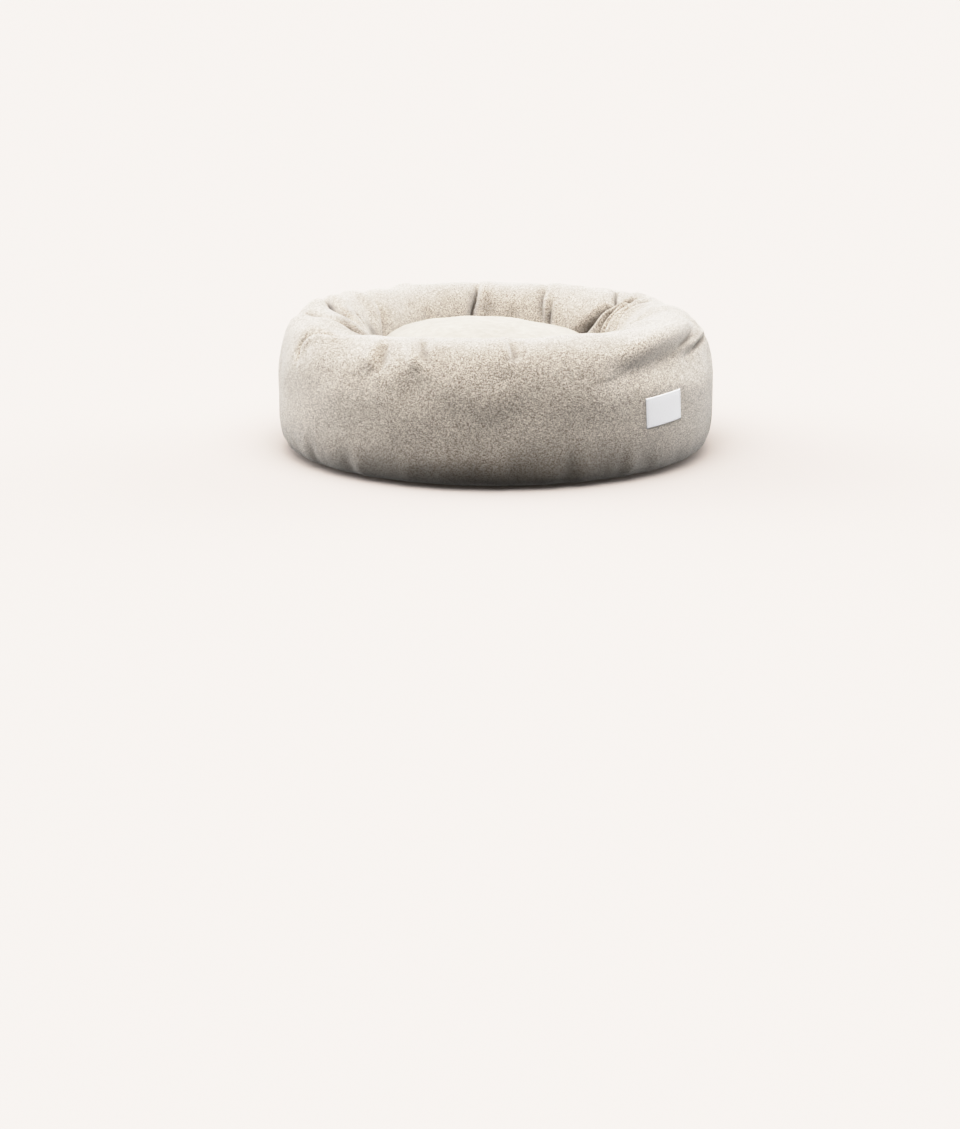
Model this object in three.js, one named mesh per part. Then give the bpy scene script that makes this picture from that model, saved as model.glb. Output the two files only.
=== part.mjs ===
// A round nest bed for a small dog: a filled bolster sewn in a ring, a crowned filled cushion in its
// middle, a flat base panel that both are sewn and laid on, and a bare woven label on the front wall.
// Millimetres and degrees. The bed stands on z = 0 with its middle on the origin. +Z is up and the
// front faces -Y.
//
// Two angles place everything on the bolster. The bearing runs round the bed: 0 at the front, 90 at
// the right, 180 at the back and 270 at the left. The turn runs round the roll's section: 0 on the
// outer wall, 90 along the crest, 180 on the inner wall and 270 underneath.

import * as THREE from 'three';

// The bed
const bedDiameter = 500;
const bedHeight = 160;
const rollWidth = 114;
const touchGap = 0.3;

// Base panel
const panelThickness = 2;
const panelDiameter = 428;
const panelSides = 96;

// The bolster's section: how square its corners are, from 2 for an ellipse upwards
const squareness = { outerTop: 2.5, innerTop: 2.3, innerFoot: 3, outerFoot: 5 };
const rollFoot = panelThickness + touchGap;
const rollMiddle = (bedDiameter - rollWidth) / 2;
const rollHalfWidth = rollWidth / 2;
const rollHalfHeight = (bedHeight - rollFoot) / 2;
const rollCentreHeight = (bedHeight + rollFoot) / 2;

// The bolster's mesh has close columns where the cloth is gathered and wider ones where it is smooth,
// by bearing, and close rows over the crest and down the inner wall, by turn and millimetres of cloth
const columnStretches = [
  { from: 80, to: 146, step: 1.45 },
  { from: 146, to: 200, step: 1.9 },
  { from: 200, to: 224, step: 3.6 },
  { from: 224, to: 306, step: 2 },
  { from: 306, to: 440, step: 3.6 },
];
const rowStretches = [
  { from: 0, to: 25, step: 18 },
  { from: 25, to: 168, step: 9.3 },
  { from: 168, to: 298, step: 22 },
  { from: 298, to: 360, step: 16 },
];

// Cushion: its crown stands a little left of the middle
const cushion = {
  rimRadius: 134.5,
  rimHeight: 84,
  shoulderHeight: 120,
  crownHeight: 150.5,
  crownShift: -15,
  footRadius: 112,
  columns: 64,
  topRows: 13,
  underRows: 8,
};

// Label: a woven patch sewn on the front wall, its right end a little higher
const label = {
  bearing: 48.4,
  height: 77.5,
  width: 60,
  depth: 34,
  thickness: 1,
  lean: 1.5,
  columns: 10,
  rows: 5,
};

// Folds and creases of the bolster's cloth. Each path goes through [bearing, turn] points. The depth,
// the half width and the lip are in millimetres. The lip is the raised edge beside the crease, on the
// left of the path's direction, or on its right where it is negative.
const folds = [
  // Back: one deep crease with a lapped edge, and softer ones beside it
  { path: [[183.8, 84], [186.8, 111], [190.5, 127], [192, 160]], depth: 13, width: 5, lip: 4.5 },
  { path: [[185, 112], [184.4, 128], [184, 152]], depth: 3, width: 8, lip: 0 },
  { path: [[161, 88], [160.2, 116], [158, 135], [157, 160]], depth: 6, width: 6, lip: 2 },
  { path: [[154.8, 119], [154, 134], [152.5, 160]], depth: 7, width: 5, lip: 2 },
  { path: [[171, 128], [171.5, 142], [171, 162]], depth: 3, width: 6, lip: 1 },
  { path: [[213, 124], [214, 140], [213, 162]], depth: 3, width: 7, lip: 1 },
  // Right: a bundle of pleats that fans out from the inner wall over the crest
  { path: [[137, 76], [124.5, 108], [128, 126], [134, 158]], depth: 15, width: 7.5, lip: 4 },
  { path: [[128, 72], [119, 99], [119.5, 113], [123, 124]], depth: 9, width: 6.5, lip: 4 },
  { path: [[111, 104], [117, 121], [120.5, 136], [122, 158]], depth: 10, width: 5.5, lip: 3.5 },
  { path: [[104, 97], [106.5, 119], [104.5, 132], [102, 158]], depth: 6, width: 5.5, lip: 3 },
  { path: [[97, 94], [92.5, 102], [84, 113], [78, 132], [77, 156]], depth: 5.5, width: 5.5, lip: 3 },
  // Left: three long folds that run over the crest and meet low on the inner wall
  { path: [[247, 66], [256, 90], [267.5, 102], [283, 113], [291, 138]], depth: 9, width: 6, lip: -4 },
  { path: [[270, 72], [281, 86], [289, 94], [295, 106], [298, 142]], depth: 13, width: 8.5, lip: -3 },
  { path: [[227, 74], [236, 104], [240, 117], [244, 129], [248, 156]], depth: 10, width: 10, lip: -7 },
  { path: [[258, 112], [262, 120], [272, 127], [284, 142]], depth: 6, width: 6, lip: -2 },
  // Front wall: soft dimples below the crest, and the long shoulder at the right
  { path: [[297, 64], [302, 68], [309, 71]], depth: 4, width: 7, lip: 2 },
  { path: [[298, 58], [294, 50], [296.5, 40]], depth: 4, width: 8, lip: 2 },
  { path: [[326.5, 66], [327.2, 44]], depth: 4, width: 10, lip: 2 },
  { path: [[337.5, 82], [340.5, 62], [342.5, 46]], depth: 5, width: 10, lip: 2 },
  { path: [[5, 86], [6.8, 67.5], [5, 48]], depth: 5, width: 9, lip: 2 },
  { path: [[80, 48], [69, 51], [56, 47], [46, 41], [38, 35], [26, 31]], depth: 8, width: 13, lip: -7 },
  // Low on the front: long shallow wrinkles above the seam to the base
  { path: [[329, 329], [341, 331], [353, 330]], depth: 3, width: 7, lip: 2 },
  { path: [[43, 318], [52, 316], [66, 318]], depth: 3, width: 7, lip: 2 },
  // Gathers on the inner wall of the front half, under the crest
  { path: [[60, 112], [58, 134], [57, 158]], depth: 5, width: 8, lip: 2 },
  { path: [[38, 108], [39, 130], [38, 158]], depth: 6, width: 8, lip: 2 },
  { path: [[17, 114], [15, 136], [16, 158]], depth: 4, width: 9, lip: 1.5 },
  { path: [[354, 106], [352, 130], [353, 158]], depth: 6, width: 9, lip: 2 },
  { path: [[331, 112], [333, 134], [332, 158]], depth: 4, width: 8, lip: 1.5 },
  { path: [[317, 106], [318, 130], [316, 158]], depth: 6, width: 8, lip: 2 },
  // Back of the outer wall: a few soft dimples
  { path: [[148, 72], [146, 52], [149, 34]], depth: 5, width: 11, lip: 2 },
  { path: [[177, 62], [175, 46], [176, 34]], depth: 4, width: 10, lip: 1.5 },
  { path: [[206, 68], [208, 48], [205, 30]], depth: 5, width: 12, lip: 2 },
  { path: [[243, 40], [232, 34], [220, 36]], depth: 5, width: 12, lip: 2.5 },
  { path: [[104, 52], [112, 44], [122, 42]], depth: 4, width: 11, lip: 2 },
];

// Uneven filling: each swell, or hollow where its rise is negative, fades out over its two reaches
const swells = [
  // Left: a full outer shoulder over a low crest, and a full lobe behind it
  { bearing: 292, turn: 64, bearingReach: 14, turnReach: 14, rise: 5 },
  { bearing: 304, turn: 97, bearingReach: 9.5, turnReach: 24, rise: -10 },
  { bearing: 319, turn: 94, bearingReach: 18, turnReach: 24, rise: -5 },
  { bearing: 250, turn: 100, bearingReach: 10, turnReach: 20, rise: 6 },
  { bearing: 266, turn: 66, bearingReach: 14, turnReach: 22, rise: 3 },
  { bearing: 228, turn: 60, bearingReach: 14, turnReach: 22, rise: 3 },
  // Right: the long shoulder, a low crest above it, and the pleated lobe behind
  { bearing: 50, turn: 62, bearingReach: 20, turnReach: 12, rise: 5 },
  { bearing: 53, turn: 96, bearingReach: 10, turnReach: 20, rise: -5 },
  { bearing: 112, turn: 76, bearingReach: 10, turnReach: 22, rise: 3 },
  { bearing: 88, turn: 66, bearingReach: 12, turnReach: 22, rise: -2 },
  // Front belly near the base, and the two lobes beside the deep crease at the back
  { bearing: 346, turn: 318, bearingReach: 14, turnReach: 9, rise: 2 },
  { bearing: 173, turn: 118, bearingReach: 8, turnReach: 16, rise: 3 },
  { bearing: 200, turn: 110, bearingReach: 10, turnReach: 20, rise: 3 },
];

// Puckers along the seam between the outer wall and the base panel
const puckers = { turn: 309, reach: 13, depth: 1.6, wideCount: 31, fineCount: 47, fineShare: 0.6 };

// The inner wall's lips flatten between the first two turns, where the cushion presses on them, and
// stay flat down to the middle of the underside
const pressedFrom = 150;
const pressedTo = 172;
const underside = 270;

const radians = THREE.MathUtils.degToRad;
const smoothstep = THREE.MathUtils.smoothstep;

// Signed difference of two bearings or turns, the short way round
function angleBetween(from, to) {
  return THREE.MathUtils.euclideanModulo(to - from + 180, 360) - 180;
}

// The roll's plain section at one turn: radius from the bed's middle, height, and outward direction
function sectionAt(turn) {
  const across = Math.cos(radians(turn));
  const up = Math.sin(radians(turn));
  const top = across >= 0 ? squareness.outerTop : squareness.innerTop;
  const foot = across >= 0 ? squareness.outerFoot : squareness.innerFoot;
  const power = up >= 0 ? top : foot;
  const widthShare = Math.abs(across / rollHalfWidth);
  const heightShare = Math.abs(up / rollHalfHeight);
  const reach = (widthShare ** power + heightShare ** power) ** (-1 / power);
  const outward = new THREE.Vector2(
    Math.sign(across) * (widthShare * reach) ** (power - 1) / rollHalfWidth,
    Math.sign(up) * (heightShare * reach) ** (power - 1) / rollHalfHeight,
  ).normalize();
  return { radius: rollMiddle + reach * across, height: rollCentreHeight + reach * up, outward };
}

// Length of cloth round the section, from turn 0 to each whole degree
const clothLengths = [0];
for (let turn = 1; turn <= 360; turn += 1) {
  const before = sectionAt(turn - 1);
  const here = sectionAt(turn);
  const step = Math.hypot(here.radius - before.radius, here.height - before.height);
  clothLengths.push(clothLengths[turn - 1] + step);
}

function clothLengthAt(turn) {
  const whole = Math.min(Math.floor(turn), 359);
  return THREE.MathUtils.lerp(clothLengths[whole], clothLengths[whole + 1], turn - whole);
}

function turnAtLength(length) {
  const next = clothLengths.findIndex((reached) => reached > length);
  const before = clothLengths[next - 1];
  return next - 1 + (length - before) / (clothLengths[next] - before);
}

// A smooth path through the fold's [bearing, turn] points, as short straight steps
const stepsPerFold = 16;
function pathPoints(fold) {
  const curve = new THREE.SplineCurve(fold.path.map(([bearing, turn]) => new THREE.Vector2(bearing, turn)));
  return curve.getPoints(stepsPerFold);
}
const foldPaths = folds.map(pathPoints);

// How far a place lies from a fold's path: along it from 0 to 1, and across it in millimetres,
// positive on the left
function placeByFold(path, bearing, turn, radius) {
  const perDegree = radians(1) * radius;
  const height = clothLengthAt(turn);
  let nearest = { distance: Infinity, along: 0, across: 0 };
  for (let i = 0; i < stepsPerFold; i += 1) {
    const stepX = (path[i + 1].x - path[i].x) * perDegree;
    const stepY = clothLengthAt(path[i + 1].y) - clothLengthAt(path[i].y);
    const x = angleBetween(path[i].x, bearing) * perDegree;
    const y = height - clothLengthAt(path[i].y);
    const share = THREE.MathUtils.clamp((x * stepX + y * stepY) / (stepX ** 2 + stepY ** 2), 0, 1);
    const distance = Math.hypot(x - share * stepX, y - share * stepY);
    if (distance < nearest.distance) {
      const side = Math.sign(stepX * y - stepY * x);
      nearest = { distance, along: (i + share) / stepsPerFold, across: side * distance };
    }
  }
  return nearest;
}

// A fold's own shape across its path: a soft trough with a raised lip on one side. These are shares
// of the fold's width. It runs out over a short share of the path at each end.
const lipOffset = 2;
const lipWidth = 1.5;
const farAway = 5;
const runOut = 0.06;
const runOutPower = 0.5;
function foldDepth(fold, path, bearing, turn, radius) {
  const place = placeByFold(path, bearing, turn, radius);
  if (place.distance > farAway * fold.width) {
    return 0;
  }
  const trough = Math.exp(-((place.distance / fold.width) ** 2));
  const lipSide = Math.sign(fold.lip) * place.across / fold.width;
  const lip = Math.exp(-(((lipSide - lipOffset) / lipWidth) ** 2));
  const along = THREE.MathUtils.clamp(place.along, runOut, 1 - runOut);
  const taper = Math.sin(Math.PI * along) ** runOutPower;
  return taper * (Math.abs(fold.lip) * lip - fold.depth * trough);
}

function swellRise(swell, bearing, turn) {
  const roundShare = angleBetween(swell.bearing, bearing) / swell.bearingReach;
  const turnShare = angleBetween(swell.turn, turn) / swell.turnReach;
  return swell.rise * Math.exp(-(roundShare ** 2) - turnShare ** 2);
}

function puckerDepth(bearing, turn) {
  const band = Math.exp(-((angleBetween(puckers.turn, turn) / puckers.reach) ** 2));
  const wide = Math.sin(radians(bearing * puckers.wideCount));
  const fine = Math.sin(radians(bearing * puckers.fineCount));
  return band * puckers.depth * (wide + puckers.fineShare * fine - 1);
}

// How far the cloth stands out from the plain section at one place
function standOut(bearing, turn, radius) {
  let out = puckerDepth(bearing, turn);
  for (const swell of swells) {
    out += swellRise(swell, bearing, turn);
  }
  folds.forEach((fold, i) => {
    out += foldDepth(fold, foldPaths[i], bearing, turn, radius);
  });
  const free = 1 - smoothstep(turn, pressedFrom, pressedTo);
  return out > 0 && turn > pressedFrom && turn < underside ? out * free : out;
}

function placeAt(bearing, radius, height) {
  return [radius * Math.sin(radians(bearing)), -radius * Math.cos(radians(bearing)), height];
}

// A point of the bolster's cloth; underneath it lies flat on the base panel
function bolsterPoint(bearing, turn) {
  const { radius, height, outward } = sectionAt(turn);
  const out = standOut(bearing, turn, radius);
  return placeAt(bearing, radius + out * outward.x, Math.max(height + out * outward.y, rollFoot));
}

// One closed skin from a list of points and a list of triangles
function closedSkin(points, triangles) {
  const geometry = new THREE.BufferGeometry();
  geometry.setAttribute('position', new THREE.Float32BufferAttribute(points.flat(), 3));
  geometry.setIndex(triangles.flat());
  geometry.computeVertexNormals();
  return geometry;
}

// The two triangles of a four-cornered patch, its corners anticlockwise from outside
function patch(a, b, c, d) {
  return [[a, b, c], [a, c, d]];
}

// Even steps from the start of each stretch to its end, leaving the end to the next stretch
function evenSteps(stretches) {
  return stretches.flatMap(({ from, to, step }) => {
    const count = Math.round((to - from) / step);
    return Array.from({ length: count }, (_, i) => from + (i * (to - from)) / count);
  });
}

function makeBolster() {
  const bearings = evenSteps(columnStretches).map((bearing) => bearing % 360);
  const lengthStretches = rowStretches.map(({ from, to, step }) => (
    { from: clothLengthAt(from), to: clothLengthAt(to), step }
  ));
  const turns = evenSteps(lengthStretches).map(turnAtLength);
  const rows = turns.length;
  const points = [];
  const triangles = [];
  bearings.forEach((bearing, column) => {
    const next = (column + 1) % bearings.length;
    turns.forEach((turn, row) => {
      points.push(bolsterPoint(bearing, turn));
      const above = (row + 1) % rows;
      const corners = [column * rows + row, next * rows + row, next * rows + above, column * rows + above];
      triangles.push(...patch(...corners));
    });
  });
  return closedSkin(points, triangles);
}

// The cushion's profile from the middle out. Above the rim it is a low dome with a rounded shoulder,
// and below it the side draws in to a flat underside.
const domePower = 2;
const shoulderPower = 12;
const shoulderRound = 2.2;
const undersideRound = 3;
function cushionTop(share) {
  const shoulder = (1 - share ** shoulderPower) ** (1 / shoulderRound);
  const dome = 1 - share ** domePower;
  return cushion.rimHeight
    + (cushion.shoulderHeight - cushion.rimHeight) * shoulder
    + (cushion.crownHeight - cushion.shoulderHeight) * dome;
}

function cushionUnder(share) {
  const drop = (1 - (1 - share) ** undersideRound) ** (1 / undersideRound);
  return cushion.rimHeight - (cushion.rimHeight - rollFoot) * drop;
}

// Rings of the cushion from the crown down to the edge of its flat underside
function cushionRings() {
  const rings = [];
  for (let row = 1; row <= cushion.topRows; row += 1) {
    const share = Math.sin((row / cushion.topRows) * (Math.PI / 2));
    const crown = 1 - share ** domePower;
    rings.push({ radius: share * cushion.rimRadius, height: cushionTop(share), crown });
  }
  for (let row = 1; row <= cushion.underRows; row += 1) {
    const share = row / cushion.underRows;
    const radius = THREE.MathUtils.lerp(cushion.rimRadius, cushion.footRadius, share);
    rings.push({ radius, height: cushionUnder(share), crown: 0 });
  }
  return rings;
}

function makeCushion() {
  const rings = cushionRings();
  const { columns, crownHeight, crownShift } = cushion;
  const points = [[crownShift, 0, crownHeight], [0, 0, rollFoot]];
  const triangles = [];
  rings.forEach(({ radius, height, crown }, ring) => {
    for (let column = 0; column < columns; column += 1) {
      const [x, y, z] = placeAt((360 * column) / columns, radius, height);
      points.push([x + crown * crownShift, y, z]);
      const here = 2 + ring * columns + column;
      const beside = 2 + ring * columns + ((column + 1) % columns);
      if (ring === 0) {
        triangles.push([0, here, beside]);
      } else {
        triangles.push(...patch(here, beside, beside - columns, here - columns));
      }
      if (ring === rings.length - 1) {
        triangles.push([1, beside, here]);
      }
    }
  });
  return closedSkin(points, triangles);
}

function makeBasePanel() {
  const radius = panelDiameter / 2;
  const geometry = new THREE.CylinderGeometry(radius, radius, panelThickness, panelSides);
  geometry.rotateX(Math.PI / 2);
  geometry.translate(0, 0, panelThickness / 2);
  return geometry;
}

// The turn at which the outer wall reaches a height, by halving a range of turns
const wallTurns = { lowest: -60, highest: 60 };
const halvings = 24;
function turnAtHeight(height) {
  let low = wallTurns.lowest;
  let high = wallTurns.highest;
  for (let halving = 0; halving < halvings; halving += 1) {
    const middle = (low + high) / 2;
    if (sectionAt(middle).height < height) {
      low = middle;
    } else {
      high = middle;
    }
  }
  return (low + high) / 2;
}

// A place on the label, from -0.5 to 0.5 along and up it, standing off the wall by a given amount
function labelPoint(along, up, off) {
  const lean = radians(label.lean);
  const alongWall = along * label.width * Math.cos(lean) - up * label.depth * Math.sin(lean);
  const upWall = along * label.width * Math.sin(lean) + up * label.depth * Math.cos(lean);
  const bearing = label.bearing + THREE.MathUtils.radToDeg(alongWall / (bedDiameter / 2));
  const { radius, height, outward } = sectionAt(turnAtHeight(label.height + upWall));
  return placeAt(bearing, radius + off * outward.x, height + off * outward.y);
}

function makeLabel() {
  const { columns, rows, thickness } = label;
  const points = [];
  for (const off of [touchGap, touchGap + thickness]) {
    for (let row = 0; row <= rows; row += 1) {
      for (let column = 0; column <= columns; column += 1) {
        points.push(labelPoint(column / columns - 0.5, row / rows - 0.5, off));
      }
    }
  }
  const index = (layer, row, column) => (layer * (rows + 1) + row) * (columns + 1) + column;
  const triangles = [];
  for (let row = 0; row < rows; row += 1) {
    for (let column = 0; column < columns; column += 1) {
      const corners = (layer) => [
        index(layer, row, column),
        index(layer, row, column + 1),
        index(layer, row + 1, column + 1),
        index(layer, row + 1, column),
      ];
      triangles.push(...patch(...corners(1)), ...patch(...corners(0).reverse()));
    }
  }
  // The four edges, from the back layer to the front one
  const edge = (fromRow, fromColumn, toRow, toColumn) => patch(
    index(0, fromRow, fromColumn),
    index(0, toRow, toColumn),
    index(1, toRow, toColumn),
    index(1, fromRow, fromColumn),
  );
  for (let column = 0; column < columns; column += 1) {
    triangles.push(...edge(0, column, 0, column + 1), ...edge(rows, column + 1, rows, column));
  }
  for (let row = 0; row < rows; row += 1) {
    triangles.push(...edge(row + 1, 0, row, 0), ...edge(row, columns, row + 1, columns));
  }
  return closedSkin(points, triangles);
}

function cloth(color, roughness) {
  return new THREE.MeshStandardMaterial({ color, roughness, metalness: 0 });
}

const pieces = [
  { name: 'base_panel', geometry: makeBasePanel(), material: cloth(0x8f857b, 0.95) },
  { name: 'bolster', geometry: makeBolster(), material: cloth(0xcfc6bb, 0.95) },
  { name: 'cushion', geometry: makeCushion(), material: cloth(0xeee8e1, 0.9) },
  { name: 'label', geometry: makeLabel(), material: cloth(0xdfdfe3, 0.8) },
];

// The uneven bolster is set so that the middle of its outline lies on the origin
const bed = new THREE.Group();
for (const { name, geometry, material } of pieces) {
  const mesh = new THREE.Mesh(geometry, material);
  mesh.name = name;
  bed.add(mesh);
}
const outline = new THREE.Box3().setFromObject(bed);
const middle = outline.getCenter(new THREE.Vector3());
for (const mesh of bed.children) {
  mesh.position.set(-middle.x, -middle.y, 0);
}

export default bed;
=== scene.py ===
import math

import bmesh
import bpy
import numpy as np
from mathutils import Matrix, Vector


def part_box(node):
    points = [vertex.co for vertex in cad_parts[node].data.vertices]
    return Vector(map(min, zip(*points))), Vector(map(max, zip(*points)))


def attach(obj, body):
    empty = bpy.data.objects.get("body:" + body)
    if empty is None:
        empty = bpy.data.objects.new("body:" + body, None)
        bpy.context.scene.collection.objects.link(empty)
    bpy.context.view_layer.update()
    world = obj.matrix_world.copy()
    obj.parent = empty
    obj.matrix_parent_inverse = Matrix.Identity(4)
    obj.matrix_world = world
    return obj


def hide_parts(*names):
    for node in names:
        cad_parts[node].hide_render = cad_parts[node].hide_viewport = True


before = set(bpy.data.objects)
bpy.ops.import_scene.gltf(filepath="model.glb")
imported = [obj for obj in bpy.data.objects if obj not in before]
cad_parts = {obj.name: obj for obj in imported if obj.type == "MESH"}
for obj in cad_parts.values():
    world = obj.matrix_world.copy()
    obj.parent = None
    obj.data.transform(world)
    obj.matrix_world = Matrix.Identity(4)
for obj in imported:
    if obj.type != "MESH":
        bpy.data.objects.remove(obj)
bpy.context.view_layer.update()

# A round nest bed: a filled bolster sewn in a ring, a crowned cushion in its middle, a flat base
# panel and a bare woven label. Sizes are in millimetres until a mesh is made, and angles in degrees.
#
# Two angles place everything on the bolster. The bearing runs round the bed: 0 at the front, 90 at
# the right, 180 at the back and 270 at the left. The turn runs round the roll's section: 0 on the
# outer wall, 90 along the crest, 180 on the inner wall and 270 underneath.

MM = 0.001
scene = bpy.context.scene


def corner_mm(node, corner):
    """The lowest (0) or highest (1) corner of a node of the frame, in millimetres."""
    return np.array(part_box(node)[corner]) / MM


# The roll's plain section, as in the frame
BED_DIAMETER = 500
BED_HEIGHT = 160
ROLL_WIDTH = 114
SQUARENESS = {"outer_top": 2.5, "inner_top": 2.3, "inner_foot": 3, "outer_foot": 5}
ROLL_FOOT = corner_mm("bolster", 0)[2]
ROLL_MIDDLE = (BED_DIAMETER - ROLL_WIDTH) / 2
HALF_WIDTH = ROLL_WIDTH / 2
HALF_HEIGHT = (BED_HEIGHT - ROLL_FOOT) / 2
CENTRE_HEIGHT = (BED_HEIGHT + ROLL_FOOT) / 2

# Main folds of the cover. Each path goes through (bearing, turn) points. Depth, half width and lip
# are in millimetres. The lip is the raised edge on the left of the path's direction, or on its right
# where it is negative, and the lap is how far that edge leans over the trough.
FOLDS = [
    # path, depth, width, lip, lap
    # Back: one deep crease with a lapped edge, and softer ones beside it
    (
        [(185.6, 84), (186.4, 95), (187.4, 109), (188.6, 121), (189.8, 131), (190.6, 144), (191, 160)],
        12, 5.5, 4, 2,
    ),
    ([(185, 112), (184.4, 128), (184, 152)], 4, 8, 0, 0),
    ([(161, 88), (160.2, 116), (158, 135), (157, 160)], 6, 5, 2.5, 0),
    ([(154.8, 119), (154, 134), (152.5, 160)], 7, 4.5, 2, 1),
    ([(171, 128), (171.5, 142), (171, 162)], 3, 6, 1, 0),
    ([(213, 124), (214, 140), (213, 162)], 3, 7, 1, 0),
    # Right: a bundle of pleats that fans out from the inner wall over the crest
    (
        [
            (137, 76), (128.5, 101), (124, 111), (126.5, 120),
            (129.2, 132), (132.5, 141), (136, 150), (137, 162),
        ],
        12, 6, 2, 0,
    ),
    ([(131, 72), (127, 88), (123.6, 99), (121.2, 108)], 6, 5.5, 2.5, 1),
    (
        [(121, 80), (117.4, 96), (117.6, 105), (119.2, 119), (120.4, 128), (121.4, 140), (122, 158)],
        8, 4, 3, 1,
    ),
    ([(118, 88), (114.6, 104), (114, 112), (115.8, 122), (116.6, 134), (117, 150)], 6, 3.6, 2.4, 0.8),
    ([(114, 90), (108.4, 104), (107.2, 114), (107.2, 123), (105.6, 134), (106, 154)], 9, 5, 4, 0.8),
    ([(99, 91), (91, 102), (86.5, 108), (82, 117), (79, 130), (78, 154)], 9, 5, 4.5, 0.8),
    # Left: three long folds that run over the crest and meet low on the inner wall
    (
        [(247, 62), (251.5, 75), (255, 84), (260.2, 91.5), (266, 99), (273, 108), (282, 117), (292, 132)],
        13, 6, 4, 3,
    ),
    (
        [(266, 62), (273, 74), (281, 82), (285.5, 89), (291, 95), (297, 104), (301, 118), (303, 144)],
        15, 8, -2, 0,
    ),
    ([(227, 68), (235, 94), (239.5, 108), (242, 124), (246.5, 139), (249, 158)], 14, 9, -6, 2.5),
    # Front wall: soft dimples below the crest, and the long shoulder at the right
    ([(296, 60), (301.5, 67), (310, 71)], 7, 4.5, -4, 0),
    ([(297, 62), (294.5, 50), (295.5, 36)], 8, 5.5, 3.5, 0),
    ([(326, 72), (327, 58), (328.5, 44)], 7, 6, -3.5, 0),
    ([(336.5, 84), (339, 65), (342, 49)], 8, 5.5, -4, 0),
    ([(4.5, 86), (5.2, 67), (4.6, 55)], 8.5, 6, -4.5, 0),
    ([(86, 59.5), (72, 57.5), (62, 54.5), (52, 49.8), (43, 44.5), (34, 38.5)], 11, 10, -6, 0),
    ([(92, 46), (80, 47), (71, 45.4), (62, 42.4)], 4.5, 4, -2, 0),
    # Low on the front: long shallow wrinkles above the seam to the base
    ([(329, 329), (341, 331), (353, 330)], 3, 7, 2, 0),
    ([(43, 318), (52, 316), (66, 318)], 3, 7, 2, 0),
    ([(354, 302), (350, 312), (343, 317)], 3.5, 4, 2, 1),
    # Gathers on the inner wall of the front half, under the crest
    ([(60, 112), (58, 134), (57, 158)], 5, 8, 2, 0),
    ([(38, 108), (39, 130), (38, 158)], 6, 8, 2, 0),
    ([(17, 114), (15, 136), (16, 158)], 4, 9, 1.5, 0),
    ([(354, 106), (352, 130), (353, 158)], 6, 9, 2, 0),
    ([(331, 112), (333, 134), (332, 158)], 4, 8, 1.5, 0),
    ([(317, 106), (318, 130), (316, 158)], 6, 8, 2, 0),
    # Back and sides of the outer wall: soft dimples, and wrinkles above the seam to the base
    ([(148, 78), (145, 60), (147, 40)], 7, 8, 3, 0),
    ([(162, 84), (165, 66), (163, 52)], 6, 7, -2.5, 0),
    ([(178, 74), (175, 54), (177, 36)], 6, 8, 2.5, 0),
    ([(205, 76), (208, 56), (204, 34)], 7, 8, 3, 0),
    ([(218, 80), (214, 62), (216, 50)], 5.5, 6.5, -2.5, 0),
    ([(243, 44), (232, 36), (219, 38)], 6, 9, 3, 0),
    ([(192, 330), (180, 334), (168, 331)], 4, 8, 2.5, 0),
    ([(104, 54), (113, 45), (124, 42)], 6, 8, 2.5, 0),
    ([(262, 52), (259, 38), (262, 24)], 5, 8, 2.5, 0),
    ([(136, 326), (128, 332), (117, 330)], 4, 8, 2.5, 0),
]

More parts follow.
